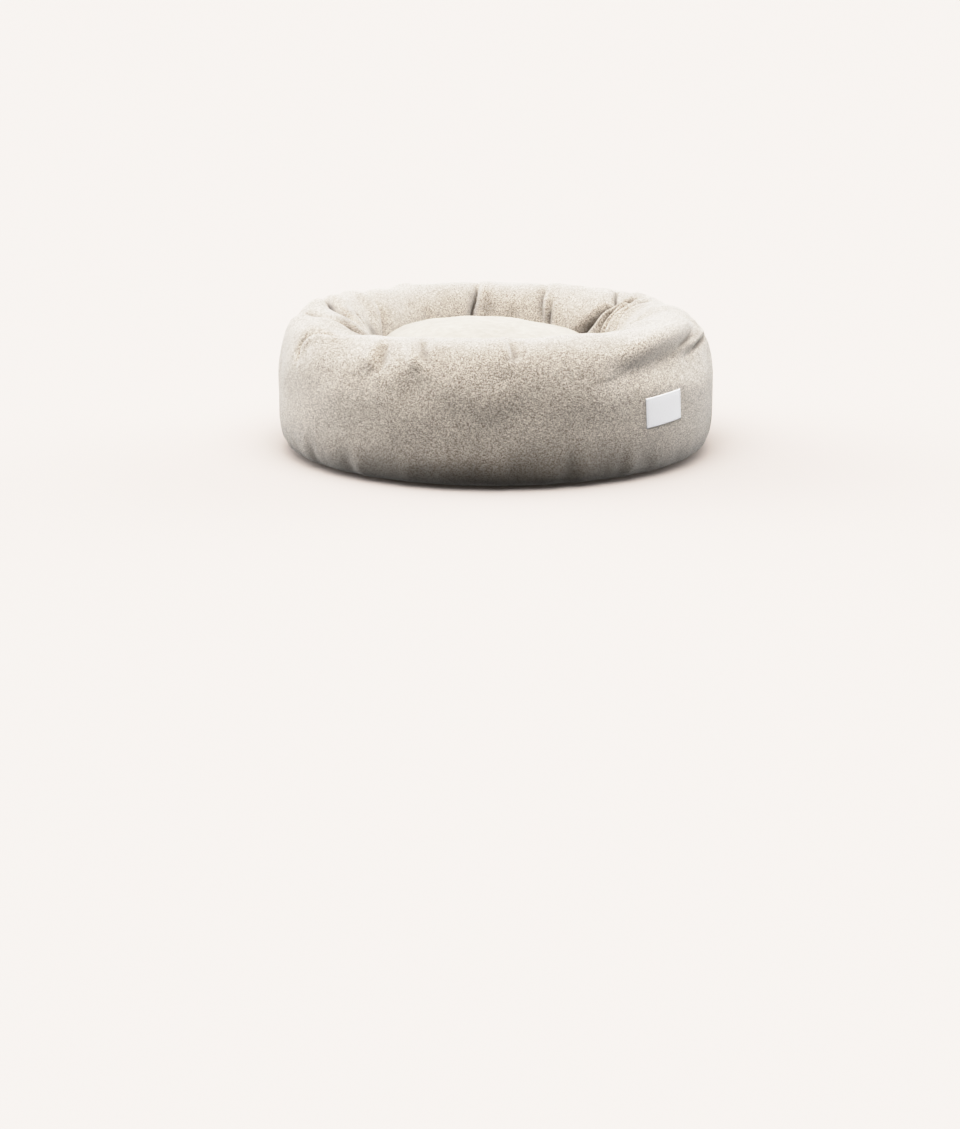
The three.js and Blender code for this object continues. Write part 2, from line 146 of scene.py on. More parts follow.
# Sharp creases, laid into the cover once it has settled
CREASES = [
    # path, depth, width, lip, lap
    # Back: the bottom of the deep crease, and the two soft ones
    ([(186.6, 91), (187.7, 109), (189, 121), (190.1, 131), (190.9, 146)], 9, 1.7, 0.8, 0),
    ([(160.4, 98), (160, 118), (158, 138)], 2.4, 2, 0.5, 0),
    ([(154.4, 125), (154, 144)], 3.5, 1.8, 0.5, 0.6),
    # Right: the bottoms of the pleats
    ([(124, 111), (126.6, 121), (129.2, 132), (132.5, 141), (135.5, 152)], 11, 4.6, 0, 0),
    ([(136.6, 79), (128.6, 100), (124, 110)], 4, 1.9, 0, 0),
    ([(118.4, 94), (117.4, 104), (119, 117), (120.3, 127), (121.4, 144)], 10, 3, 0.8, 0),
    ([(117, 94), (114.1, 109), (115, 119), (116.4, 132)], 7, 2.3, 0.8, 0),
    ([(113, 92), (107.8, 108), (107.3, 120), (105.8, 134)], 8, 3.2, 0.8, 0),
    ([(98, 93), (90.5, 102.5), (86.3, 108.5), (82, 118)], 8, 3.2, 0.8, 0),
    # Left: the bottoms of the long folds, and fine creases beside them
    ([(249, 70), (255, 84), (260.2, 91.5), (266, 99), (273, 108), (280, 115)], 8, 2.4, 1, 0.6),
    ([(260, 86), (266, 93), (273, 100)], 2.4, 1.8, 0.4, 0),
    ([(269, 72), (279, 84), (284, 91), (290, 98), (296, 107), (300, 120)], 7, 3.4, 0, 0),
    ([(235, 92), (239.5, 107), (242, 124), (246.5, 139)], 5, 2.4, -0.8, 0.6),
    ([(261, 113), (265, 120.6), (270, 130)], 5, 2, 0.6, 0),
    ([(289, 102), (295, 107), (300, 116)], 8, 3, 0, 0),
    # Front: the soft bottoms of the dimples below the crest
    ([(326.5, 70), (327.5, 58), (328.5, 47)], 1.2, 3, 0, 0),
    ([(337, 82), (339.5, 66), (342, 52)], 1.6, 3, 0, 0),
    ([(4.5, 84), (5.3, 68), (4.6, 57)], 1.6, 3, 0, 0),
    # Front shoulder: a thin ridge between the two small sharp dips at the right limb
    ([(90, 50), (79, 52), (68.5, 52), (60, 48.7)], -2.6, 2.6, 0, 0),
    ([(78, 58.6), (72, 57.6), (63, 54.6)], 3, 3, 0, 0),
    ([(90, 45.5), (80, 47), (72, 45.6)], 3.2, 2.6, 0, 0),
]

# Uneven filling: each swell, or hollow where its rise is negative, fades out over its two reaches
SWELLS = [
    # bearing, turn, bearing reach, turn reach, rise
    (292, 64, 14, 14, 5),
    (304, 97, 9.5, 24, -10),
    (319, 94, 18, 24, -5),
    (250, 100, 10, 20, 5),
    (257, 80, 6, 15, 6),
    (266, 66, 14, 22, 3),
    (228, 60, 14, 22, 3),
    (50, 62, 20, 12, 5),
    (53, 96, 10, 20, -5),
    (111, 80, 9, 24, -4),
    # The front wall draws in below the long shoulder
    (60, 37, 24, 15, -7),
    (88, 66, 12, 22, -2),
    (346, 318, 14, 9, 2),
    (173, 118, 8, 16, 3),
    (200, 110, 10, 20, 3),
    # The bright ends of the dimples below the front crest
    (323.5, 51, 4.5, 8, 2.2),
    (338.5, 54, 3.5, 8, 2),
    (4, 56, 4, 7, 2.4),
]

# Puckers along the seam between the outer wall and the base panel: waves round the bed, with calmer
# stretches between them
PUCKERS = {
    "turn": 309,
    "reach": 12,
    "depth": 1.3,
    "counts": (29, 47, 71),
    "shares": (1, 0.6, 0.35),
    "phase": 40,
    "calm": 0.35,
    "calm_count": 2.5,
    "calm_phase": 30,
}

# The cushion presses on the inner wall: lips flatten from the first turn to the second, and none
# stands out from there to the third
PRESSED = (150, 172, 270)

# The label, on the front wall at the right
LABEL = {"bearing": 48.4, "height": 77.5, "width": 60, "depth": 34, "thickness": 1, "lean": 3}
LABEL_BLEND = 16

# Straight steps that make up a fold's curved path
FOLD_STEPS = 20
# A fold's section, in its own half widths: where its lip and its lap lie, and how far it reaches
LIP_OFFSET, LIP_WIDTH = 1.7, 1.3
LAP_OFFSET, LAP_WIDTH = 1, 1.1
FOLD_REACH = 5
# The trough is steeper under its raised edge than on its other side
STEEP_SIDE, GENTLE_SIDE = 1.3, 0.75
# A fold gets shallower towards its ends, down to the depth that it has at this share of its length
RUN_OUT, END_FADE = 0.03, 0.65
# No place on the roll lies nearer to the bed's middle
SMALLEST_RADIUS = 100


# Shapes of the bolster's section and folds, on whole arrays of places

def section(turn):
    """Radius, height and outward direction of the roll's plain section at each turn."""
    across, up = np.cos(np.radians(turn)), np.sin(np.radians(turn))
    top = np.where(across >= 0, SQUARENESS["outer_top"], SQUARENESS["inner_top"])
    foot = np.where(across >= 0, SQUARENESS["outer_foot"], SQUARENESS["inner_foot"])
    power = np.where(up >= 0, top, foot)
    wide, high = np.abs(across / HALF_WIDTH), np.abs(up / HALF_HEIGHT)
    reach = (wide ** power + high ** power) ** (-1 / power)
    out_across = np.sign(across) * (wide * reach) ** (power - 1) / HALF_WIDTH
    out_up = np.sign(up) * (high * reach) ** (power - 1) / HALF_HEIGHT
    length = np.hypot(out_across, out_up)
    radius = ROLL_MIDDLE + reach * across
    height = CENTRE_HEIGHT + reach * up
    return radius, height, out_across / length, out_up / length


WHOLE_TURNS = np.arange(-180, 541)


def cloth_lengths():
    """Length of cloth round the section from turn 0 to each whole turn."""
    radius, height, _, _ = section(WHOLE_TURNS)
    steps = np.hypot(np.diff(radius), np.diff(height))
    lengths = np.concatenate([[0], np.cumsum(steps)])
    return lengths - lengths[WHOLE_TURNS == 0]


CLOTH_LENGTHS = cloth_lengths()


def length_at(turn):
    return np.interp(turn, WHOLE_TURNS, CLOTH_LENGTHS)


def turn_at(length):
    return np.interp(length, CLOTH_LENGTHS, WHOLE_TURNS)


WHOLE_LENGTH = length_at(360) - length_at(0)


def angle_between(start, end):
    return (end - start + 180) % 360 - 180


def smooth_path(points, steps=FOLD_STEPS):
    """A smooth curve through the points, as short straight steps."""
    points = np.array(points, float)
    last = len(points) - 1
    places = np.linspace(0, last, steps + 1)
    whole = np.minimum(places.astype(int), last - 1)
    share = (places - whole)[:, None]
    before = points[np.maximum(whole - 1, 0)]
    here, after = points[whole], points[whole + 1]
    beyond = points[np.minimum(whole + 2, last)]
    start_pull, end_pull = (after - before) / 2, (beyond - here) / 2
    cubic = 2 * here - 2 * after + start_pull + end_pull
    square = -3 * here + 3 * after - 2 * start_pull - end_pull
    return ((cubic * share + square) * share + start_pull) * share + here


def place_by_path(path, bearing, turn):
    """How far each place lies from a path: the distance and its signed form in millimetres, positive
    on the left, the share along it, and the direction that leads to the left."""
    per_degree = np.radians(1) * section(turn)[0]
    height = length_at(turn)
    best = np.full(bearing.shape, np.inf)
    along, across = np.zeros(bearing.shape), np.zeros(bearing.shape)
    left_bearing, left_length = np.zeros(bearing.shape), np.zeros(bearing.shape)
    for i in range(len(path) - 1):
        step_x = (path[i + 1][0] - path[i][0]) * per_degree
        step_y = length_at(path[i + 1][1]) - length_at(path[i][1])
        x = angle_between(path[i][0], bearing) * per_degree
        y = height - length_at(path[i][1])
        size = step_x ** 2 + step_y ** 2
        share = np.clip((x * step_x + y * step_y) / size, 0, 1)
        distance = np.hypot(x - share * step_x, y - share * step_y)
        nearer = distance < best
        best = np.where(nearer, distance, best)
        side = np.sign(step_x * y - step_y * x)
        along = np.where(nearer, (i + share) / (len(path) - 1), along)
        across = np.where(nearer, side * distance, across)
        left_bearing = np.where(nearer, -step_y / np.sqrt(size) / per_degree, left_bearing)
        left_length = np.where(nearer, step_x / np.sqrt(size), left_length)
    return best, across, along, left_bearing, left_length


def bell(value):
    return np.exp(-value ** 2)


def ease(value, start, end):
    share = np.clip((value - start) / (end - start), 0, 1)
    return share * share * (3 - 2 * share)


def band(value, start, full, fading, end):
    """1 between the two middle values, fading to 0 at the outer two."""
    return ease(value, start, full) * (1 - ease(value, fading, end))


def spot(bearing, turn, middle_bearing, middle_turn, bearing_reach, turn_reach):
    """1 at one place on the cover, fading out over its two reaches."""
    round_bed = bell(angle_between(middle_bearing, bearing) / bearing_reach)
    return round_bed * bell(angle_between(middle_turn, turn) / turn_reach)


def apply_folds(folds, bearing, turn):
    """What a list of folds does at each place: how far the cloth stands out, and its slide round the
    bed in degrees and round the section in millimetres."""
    out, slide_bearing, slide_length = (np.zeros(bearing.shape) for _ in range(3))
    plain_length = length_at(turn)
    for points, depth, width, lip, lap in folds:
        path = smooth_path(points)
        reach = FOLD_REACH * width
        mid_bearing, span = path[:, 0].mean(), np.ptp(path[:, 0]) / 2
        span += np.degrees(reach / SMALLEST_RADIUS)
        near = np.abs(angle_between(mid_bearing, bearing)) < span
        lengths = length_at(path[:, 1])
        near &= (plain_length > lengths.min() - reach) & (plain_length < lengths.max() + reach)
        if not near.any():
            continue
        place = place_by_path(path, bearing[near], turn[near])
        distance, across, along, left_bearing, left_length = place
        lip_side = (np.sign(lip) if lip else 1) * across / width
        raised = bell((lip_side - LIP_OFFSET) / LIP_WIDTH)
        steepness = np.where(lip_side > 0, STEEP_SIDE, GENTLE_SIDE) if lip else 1
        taper = np.sin(np.pi * np.clip(along, RUN_OUT, 1 - RUN_OUT)) ** END_FADE
        taper *= distance < reach
        out[near] += taper * (abs(lip) * raised - depth * bell(distance * steepness / width))
        # The raised edge leans back over the trough
        lean = -np.sign(lip) * lap * taper * bell((lip_side - LAP_OFFSET) / LAP_WIDTH)
        slide_bearing[near] += lean * left_bearing
        slide_length[near] += lean * left_length
    return out, slide_bearing, slide_length


def filling(bearing, turn):
    """The uneven filling and the puckers along the base seam."""
    out = np.zeros(bearing.shape)
    for *place, rise in SWELLS:
        out += rise * spot(bearing, turn, *place)
    seam = bell(angle_between(PUCKERS["turn"], turn) / PUCKERS["reach"])
    gathers = -1
    for count, share in zip(PUCKERS["counts"], PUCKERS["shares"]):
        gathers = gathers + share * np.sin(np.radians(bearing + PUCKERS["phase"]) * count)
    restless = np.sin(np.radians(bearing * PUCKERS["calm_count"] + PUCKERS["calm_phase"])) ** 2
    uneven = PUCKERS["calm"] + (1 - PUCKERS["calm"]) * restless
    return out + seam * PUCKERS["depth"] * uneven * gathers


def cover_places(bearing, turn, folds, extra_out=0, shrink=0):
    """Where the cover lies, in millimetres, for each bearing and turn."""
    out, slide_bearing, slide_length = apply_folds(folds, bearing, turn)
    out = out + filling(bearing, turn)
    start, flat, end = PRESSED
    pressed = (turn > start) & (turn < end) & (out > 0)
    out = np.where(pressed, out * (1 - ease(turn, start, flat)), out)
    moved_turn = turn_at(length_at(turn) + slide_length)
    radius, height, out_across, out_up = section(moved_turn)
    out = (out + extra_out) * (1 - under_label(bearing, height)) - shrink
    height = np.maximum(height + out * out_up, ROLL_FOOT)
    return on_bed(bearing + slide_bearing, radius + out * out_across, height)


def under_label(bearing, height):
    """1 where the label lies, fading to 0 around it. The wall is left plain there, and so is the
    hidden inner wall behind it."""
    along = np.abs(angle_between(LABEL["bearing"], bearing)) * math.radians(1) * BED_DIAMETER / 2
    up = np.abs(height - LABEL["height"])
    on_width = 1 - ease(along, LABEL["width"] / 2, LABEL["width"] / 2 + LABEL_BLEND)
    on_depth = 1 - ease(up, LABEL["depth"] / 2, LABEL["depth"] / 2 + LABEL_BLEND)
    return on_width * on_depth


def on_bed(bearing, radius, height):
    angle = np.radians(bearing)
    return np.stack([radius * np.sin(angle), -radius * np.cos(angle), height], -1)


# Meshes

# The bolster's and the label's own map of their cloth, in metres. The bolster's is laid out at this
# radius round the bed.
CLOTH_MAP = "cloth"
MAP_RADIUS = 225


def make_object(name, data):
    piece = bpy.data.objects.new(name, data)
    scene.collection.objects.link(piece)
    return piece


def smooth(piece):
    piece.data.polygons.foreach_set("use_smooth", [True] * len(piece.data.polygons))
    piece.data.update()


def applied(piece):
    """The piece with its modifiers turned into plain mesh."""
    result = piece.evaluated_get(bpy.context.evaluated_depsgraph_get())
    mesh = bpy.data.meshes.new_from_object(result)
    piece.modifiers.clear()
    piece.data = mesh
    return piece


def read_places(mesh):
    """A mesh's places, in millimetres."""
    places = np.zeros(len(mesh.vertices) * 3)
    mesh.vertices.foreach_get("co", places)
    return places.reshape(-1, 3) / MM


def write_places(mesh, places):
    mesh.vertices.foreach_set("co", (places * MM).ravel())
    mesh.update()


def point_normals(mesh):
    normals = np.zeros(len(mesh.vertices) * 3)
    mesh.vertex_normals.foreach_get("vector", normals)
    return normals.reshape(-1, 3)


# Both filled pieces settle alike: pressed from inside by their filling, without gravity
FILLED_CLOTH = {
    "quality": 5,
    "mass": 0.2,
    "tension_stiffness": 12,
    "compression_stiffness": 12,
    "use_pressure": True,
    "uniform_pressure_force": 4,
}
SETTLING_FRAMES = 20


def settled_places(piece, **more):
    """Where the cloth of a closed piece settles over its filling."""
    cloth = piece.modifiers.new("filled", "CLOTH")
    for name, value in (FILLED_CLOTH | more).items():
        setattr(cloth.settings, name, value)
    cloth.settings.effector_weights.gravity = 0
    cloth.point_cache.frame_end = SETTLING_FRAMES
    for number in range(1, SETTLING_FRAMES + 1):
        scene.frame_set(number)
    result = piece.evaluated_get(bpy.context.evaluated_depsgraph_get())
    settled = read_places(result.to_mesh())
    result.to_mesh_clear()
    piece.modifiers.clear()
    scene.frame_set(1)
    return settled


def limited(moved, most):
    """Moves that never pass the most allowed, hardly changed where they are small."""
    size = np.linalg.norm(moved, axis=-1, keepdims=True)
    return moved * (most * np.tanh(size / most) / np.maximum(size, 1e-6))


# Bolster: a closed ring of cloth. It is laid out on a fine grid and settles on a coarse one.

def ring_mesh(name, bearings, turns, places):
    """A closed ring of cloth from a grid of places, with its own cloth map in metres."""
    columns, rows = len(bearings), len(turns)
    column, row = np.meshgrid(np.arange(columns), np.arange(rows), indexing="ij")
    beside, above = (column + 1) % columns, (row + 1) % rows
    corners = [(column, row), (beside, row), (beside, above), (column, above)]
    faces = np.stack([c * rows + r for c, r in corners], -1).reshape(-1, 4)
    mesh = bpy.data.meshes.new(name)
    mesh.from_pydata((places.reshape(-1, 3) * MM).tolist(), [], faces.tolist())
    along = np.append(bearings, bearings[0] + 360) * math.radians(1) * MAP_RADIUS * MM
    lengths = length_at(turns)
    up = np.append(lengths, lengths[0] + WHOLE_LENGTH) * MM
    map_corners = [(column, row), (column + 1, row), (column + 1, row + 1), (column, row + 1)]
    cloth_map = np.stack([np.stack([along[c], up[r]], -1) for c, r in map_corners], -2)
    mesh.uv_layers.new(name=CLOTH_MAP).data.foreach_set("uv", cloth_map.ravel())
    return mesh


def even_steps(stretches):
    """Even steps over each stretch, leaving its end to the next one."""
    steps = []
    for start, end, step in stretches:
        count = round((end - start) / step)
        steps += [start + i * (end - start) / count for i in range(count)]
    return np.array(steps)


# The ring is closed at the back, in the deep crease, and its rows start underneath. A stretch has its
# start, its end and its step: degrees for columns, and turns with a step in millimetres for rows.
CLOSING_BEARING = 187
FINE_COLUMNS = [
    (CLOSING_BEARING - 360, -136, 0.9),
    (-136, -54, 0.62),
    (-54, 76, 0.95),
    (76, 166, 0.5),
    (166, CLOSING_BEARING, 0.55),
]
FINE_ROWS = [(-90, -62, 6), (-62, 22, 3.2), (22, 160, 1.95), (160, 270, 5)]
COARSE_COLUMNS = 288
COARSE_ROWS = [(-90, 270, 5.5)]


def row_turns(stretches):
    """Turns of the rows, from stretches given by their turns and the cloth between two rows."""
    lengths = [(length_at(start), length_at(end), step) for start, end, step in stretches]
    return turn_at(even_steps(lengths))


# Low rumples: how many waves make them up, how often these go round the bed, how fast they turn on
# up the cloth, in radians a millimetre, and the seed they are drawn from
SMALL_WAVES = {"waves": 40, "round_range": (4, 26), "up_range": (-0.10, 0.10), "seed": 5}
LONG_WAVES = {"waves": 30, "round_range": (2, 9), "up_range": (-0.12, 0.12), "seed": 6}
CREST_BAND = (-30, 40, 150, 175)
WALL_BAND = (-62, -30, 30, 60)
CREST_SMALL, WALL_SMALL, WALL_LONG = 0.45, 0.2, 0.3


def waves_round_bed(bearing, length, waves, round_range, up_range, seed):
    """A sum of long waves that meets itself round the bed, about 1 high."""
    rng = np.random.default_rng(seed)
    total = np.zeros(bearing.shape)
    for _ in range(waves):
        count = rng.integers(*round_range) * rng.choice([-1, 1])
        up = rng.uniform(*up_range)
        phase = rng.uniform(0, 2 * np.pi)
        total += np.sin(np.radians(bearing) * count + length * up + phase)
    return total / math.sqrt(waves / 2)


def cover_rumples(bearing, turn):
    """How far low rumples stand out on the crest and on the outer wall."""
    length = length_at(turn)
    small = waves_round_bed(bearing, length, **SMALL_WAVES)
    long_ones = waves_round_bed(bearing, length, **LONG_WAVES)
    crest = CREST_SMALL * small * band(turn, *CREST_BAND)
    return crest + (WALL_SMALL * small + WALL_LONG * long_ones) * band(turn, *WALL_BAND)


# How the cloth settles: it starts a little smaller than its places, is cut fuller than it is laid,
# most of all round the hole, and no point moves past the most allowed
SHRINK = 1
CUT_FULLER = 0.03
HOLE_FULLER, HOLE_TURNS = 0.06, (80, 130)
MOST_MOVED = 4
# It is held where folds are this deep, along the inner seam and along the seam to the base
PINNED_DEPTH, MOST_PINNED = 5, 0.9
INNER_SEAM = (168, 186)
BASE_SEAM = (-64, -48)


def coarse_grid():
    bearings = np.arange(COARSE_COLUMNS) * 360 / COARSE_COLUMNS
    return bearings, row_turns(COARSE_ROWS)


def settle_ring(places, pins, cut_places):
    """Where the coarse ring settles, held at its pins and cut as large as its second places."""
    piece = make_object("settling", ring_mesh("settling", *coarse_grid(), places))
    group = piece.vertex_groups.new(name="held")
    tenths = np.round(pins.ravel() * 10)
    for step in range(1, 11):
        held = np.flatnonzero(tenths == step)
        if len(held):
            group.add(held.tolist(), step / 10, "REPLACE")
    piece.shape_key_add(name="Basis")
    cut = piece.shape_key_add(name="cut")
    cut.data.foreach_set("co", (cut_places * MM).ravel())
    cut.value = 0
    settled = settled_places(
        piece,
        bending_stiffness=0.1,
        shear_stiffness=4,
        vertex_group_mass="held",
        rest_shape_key=cut,
    )
    bpy.data.objects.remove(piece)
    return settled.reshape(places.shape)


def spline_weights(places, count):
    """For places on a closed row of values: four values by number, and the share of each."""
    whole = np.floor(places).astype(int)
    share = places - whole
    parts = [
        (1 - share) ** 3 / 6,
        (3 * share ** 3 - 6 * share ** 2 + 4) / 6,
        (-3 * share ** 3 + 3 * share ** 2 + 3 * share + 1) / 6,
        share ** 3 / 6,
    ]
    return [((whole + i - 1) % count, part) for i, part in enumerate(parts)]


def spread(values, bearings, turns, fine_bearings, fine_turns):
    """Values on the coarse grid, carried over smoothly to the fine one."""
    columns, rows = values.shape[:2]
    column = ((fine_bearings - bearings[0]) % 360) / 360 * columns
    row = (length_at(fine_turns) - length_at(turns[0])) / WHOLE_LENGTH * rows
    across = sum(values[i] * part[:, None, None] for i, part in spline_weights(column, columns))
    return sum(across[:, i] * part[None, :, None] for i, part in spline_weights(row, rows))


def settling_moves(bearings, turns):
    """How each place of the fine grid moves as the cloth settles over its filling."""
    coarse_bearings, coarse_turns = coarse_grid()
    bearing, turn = np.meshgrid(coarse_bearings, coarse_turns, indexing="ij")
    start = cover_places(bearing, turn, FOLDS, shrink=SHRINK)
    out, _, _ = apply_folds(FOLDS, bearing, turn)
    holds = [
        np.clip(-out / PINNED_DEPTH, 0, MOST_PINNED),
        ease(turn, *INNER_SEAM),
        1 - ease(turn, *BASE_SEAM),
        under_label(bearing, start[..., 2]),
    ]
    fuller = 1 + CUT_FULLER + HOLE_FULLER * ease(turn, *HOLE_TURNS)
    cut_places = start.copy()
    cut_places[..., :2] *= fuller[..., None]
    cut_places[..., 2] = CENTRE_HEIGHT + (start[..., 2] - CENTRE_HEIGHT) * (1 + CUT_FULLER)
    settled = settle_ring(start, np.max(holds, axis=0), cut_places)
    moved = limited(settled - start, MOST_MOVED)
    return spread(moved, coarse_bearings, coarse_turns, bearings, turns)


# Painted shade in the creases, from 0 to 1, full at this depth of a crease in millimetres: the weave
# reads it
CREASE_SHADE_MAP = "crease"
DEEP_CREASE = 5
# Painted shade where folds meet and the cloth lies deep between them
PAINTED_SHADE_PLACES = [
    # bearing, turn, bearing reach, turn reach, darkness
    (297, 105, 5, 7, 0.9),
    (288, 100, 6, 6, 0.35),
    (272, 106, 6, 7, 0.3),
    (260.5, 133, 4, 8, 0.5),
    (184, 126, 4, 9, 0.25),
    (154, 134, 2.5, 9, 0.45),
    (80, 55, 7, 4, 0.3),
    (67, 50, 9, 4.5, 0.25),
]
# By the base seam, where the cloth gathers, shade is painted too, most of all at the front
LOW_TURN, LOW_REACH, LOW_SHADE = 305, 24, 0.6
FRONT_REACH, SHARE_BEHIND = 50, 0.15
# Where a fold's steep side stretches the cloth map, the weave fades into short loose fibres
STRETCH_MAP = "stretch"
STRETCH_RANGE = (1.3, 2.0)


def painted_shade_at(bearing, turn):
    """How much shade is painted on the cloth at each place, from 0 to 1."""
    # Painted shade: darker with the depth of each crease, at the listed places and low by the base seam
    out, _, _ = apply_folds(CREASES, bearing, turn)
    painted_shade = np.clip(-out / DEEP_CREASE, 0, 1)
    for *place, dark in PAINTED_SHADE_PLACES:
        painted_shade = np.maximum(painted_shade, dark * spot(bearing, turn, *place))
    front = bell(angle_between(0, bearing) / FRONT_REACH)
    low = bell(angle_between(LOW_TURN, turn) / LOW_REACH)
    return np.maximum(painted_shade, LOW_SHADE * low * (SHARE_BEHIND + (1 - SHARE_BEHIND) * front))


def stretched_places(places, bearings, turns):
    """How far the cloth map is stretched at each place, from 0 where it is plain to 1."""
    along = np.diff(np.append(bearings, bearings[0] + 360)) * math.radians(1) * MAP_RADIUS
    lengths = length_at(turns)
    up = np.diff(np.append(lengths, lengths[0] + WHOLE_LENGTH))
    stretches = []
    for axis, plain in enumerate((along[:, None], up[None, :])):
        longer = np.linalg.norm(np.roll(places, -1, axis=axis) - places, axis=-1) / plain
        stretches.append((longer + np.roll(longer, 1, axis=axis)) / 2)
    return ease(np.maximum(*stretches), *STRETCH_RANGE)


def make_bolster():
    """The ring's cover on its fine grid, with the maps that its weave reads."""
    bearings, turns = even_steps(FINE_COLUMNS), row_turns(FINE_ROWS)
    bearing, turn = np.meshgrid(bearings, turns, indexing="ij")
    places = cover_places(bearing, turn, FOLDS + CREASES, cover_rumples(bearing, turn))
    places += settling_moves(bearings, turns)
    places[..., 2] = np.maximum(places[..., 2], ROLL_FOOT)
    piece = make_object("bolster_cover", ring_mesh("bolster_cover", bearings, turns, places))
    maps = {
        CREASE_SHADE_MAP: painted_shade_at(bearing, turn),
        STRETCH_MAP: stretched_places(places, bearings, turns),
    }
    for name, values in maps.items():
        attribute = piece.data.attributes.new(name, "FLOAT", "POINT")
        attribute.data.foreach_set("value", values.ravel())
    smooth(piece)
    return piece


# Camera: the photograph's viewing angle, a little above level

IMAGE_WIDTH, IMAGE_HEIGHT = 960, 1129
CAMERA_RISE = 9.6
CAMERA_DISTANCE = 4.0
PIXELS_PER_MM = 0.868
CREST_PIXEL = (496, 310)
SENSOR = 36


def make_camera():
    """A long lens, aimed so that the crest's middle falls on its pixel of the photograph."""
    focal = PIXELS_PER_MM / MM * CAMERA_DISTANCE
    rise = math.radians(CAMERA_RISE)
    crest = Vector((0, 0, BED_HEIGHT * MM))
    data = bpy.data.cameras.new("camera")
    data.sensor_width = SENSOR
    data.lens = focal / IMAGE_HEIGHT * SENSOR
    camera = make_object("camera", data)
    camera.location = crest + CAMERA_DISTANCE * Vector((0, -math.cos(rise), math.sin(rise)))
    yaw = math.atan((CREST_PIXEL[0] - IMAGE_WIDTH / 2) / focal)
    pitch = -rise + math.atan((CREST_PIXEL[1] - IMAGE_HEIGHT / 2) / focal)
    camera.rotation_euler = (math.pi / 2 + pitch, 0, yaw)
    scene.camera = camera


make_camera()


# Cushion: a copy of its solid, remeshed, swollen by its filling and then seamed and creased

CUSHION_VOXEL = 5
CUSHION_SHRINK = 3
CUSHION_MOVED = 8
# Its sides are drawn in at the rim seam, and short gathers run up and down from it
RIM_HEIGHT = 84
SEAM_DEPTH, SEAM_WIDTH = 2.2, 3
GATHER_RISE, GATHER_OFFSET, GATHER_REACH = 0.7, 8, 16
GATHER_WAVES = [
    # times round the cushion, share, start
    (37, 1, 0),
    (61, 0.7, 1),
]
SIDE_RADII = (90, 120)
# Low wrinkles run across the crown, which is filled a little fuller before its shoulder
CROWN_WAVES = {"waves": 26, "wave_range": (26, 80), "stretch": (1, 3, 1), "seed": 11}
WRINKLE_RISE, WRINKLE_HEIGHTS = 0.5, (100, 128)
FULL_RISE, FULL_RADIUS, FULL_REACH, FULL_HEIGHTS = 1.5, 105, 22, (90, 105)
# The crown lies a little to the left, and is a little wider than the solid's
CROWN_SHIFT, SHIFT_HEIGHT = 9, 125
CROWN_WIDER, WIDER_HEIGHT = 0.03, 110
# Where it would press into the bolster's plain inner wall, the cover is drawn in softly, to this gap
WALL_GAP = 3.5
WALL_SOFTNESS = 1.2


def merged_copy(node, name):
    """A copy of a node's mesh with its loose triangles joined."""
    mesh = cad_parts[node].data.copy()
    mesh.name = name
    shell = bmesh.new()
    shell.from_mesh(mesh)
    bmesh.ops.remove_doubles(shell, verts=shell.verts, dist=0.01 * MM)
    shell.to_mesh(mesh)
    shell.free()
    return mesh


def swell(piece):
    """Lets the cushion swell under its cloth, from a little smaller than its solid."""
    start = read_places(piece.data) - CUSHION_SHRINK * point_normals(piece.data)
    write_places(piece.data, start)
    moved = settled_places(piece, bending_stiffness=0.6) - start
    write_places(piece.data, start + limited(moved, CUSHION_MOVED))


def rumples(places, waves, wave_range, stretch, seed):
    """A sum of waves in all directions over places in millimetres, about 1 high."""
    rng = np.random.default_rng(seed)
    total = np.zeros(len(places))
    for _ in range(waves):
        direction = rng.normal(size=3) / np.array(stretch)
        direction /= np.linalg.norm(direction)
        wave = 2 * np.pi / rng.uniform(*wave_range)
        total += np.sin(places @ direction * wave + rng.uniform(0, 2 * np.pi))
    return total / math.sqrt(waves / 2)


def clear_of_wall(places):
    """The places drawn in softly where they would press into the bolster's inner wall."""
    wall_turns = np.linspace(180, 90, 91)
    wall_radius, wall_height, _, _ = section(wall_turns)
    radius = np.hypot(places[:, 0], places[:, 1])
    over = radius - (np.interp(places[:, 2], wall_height, wall_radius) - WALL_GAP)
    drawn_in = WALL_SOFTNESS * np.log1p(np.exp(over / WALL_SOFTNESS))
    share = 1 - drawn_in / np.maximum(radius, 1)
    return places * np.stack([share, share, np.ones(len(share))], -1)


def crease_cushion(piece):
    """The rim seam with its short gathers, and the crown with its low wrinkles."""
    places = read_places(piece.data)
    bearing = np.arctan2(places[:, 0], -places[:, 1])
    radius, height = np.hypot(places[:, 0], places[:, 1]), places[:, 2].copy()
    from_rim = np.abs(height - RIM_HEIGHT)
    gathers = sum(share * np.sin(bearing * count + start) for count, share, start in GATHER_WAVES)
    rim = GATHER_RISE * gathers * bell((from_rim - GATHER_OFFSET) / GATHER_REACH)
    rim -= SEAM_DEPTH * bell(from_rim / SEAM_WIDTH)
    out = rim * ease(radius, *SIDE_RADII)
    out += WRINKLE_RISE * rumples(places, **CROWN_WAVES) * ease(height, *WRINKLE_HEIGHTS)
    out += FULL_RISE * bell((radius - FULL_RADIUS) / FULL_REACH) * ease(height, *FULL_HEIGHTS)
    places += out[:, None] * point_normals(piece.data)
    places[:, 0] *= 1 + CROWN_WIDER * ease(places[:, 2], RIM_HEIGHT, WIDER_HEIGHT)
    places[:, 0] -= CROWN_SHIFT * ease(places[:, 2], RIM_HEIGHT, SHIFT_HEIGHT)
    write_places(piece.data, clear_of_wall(places))


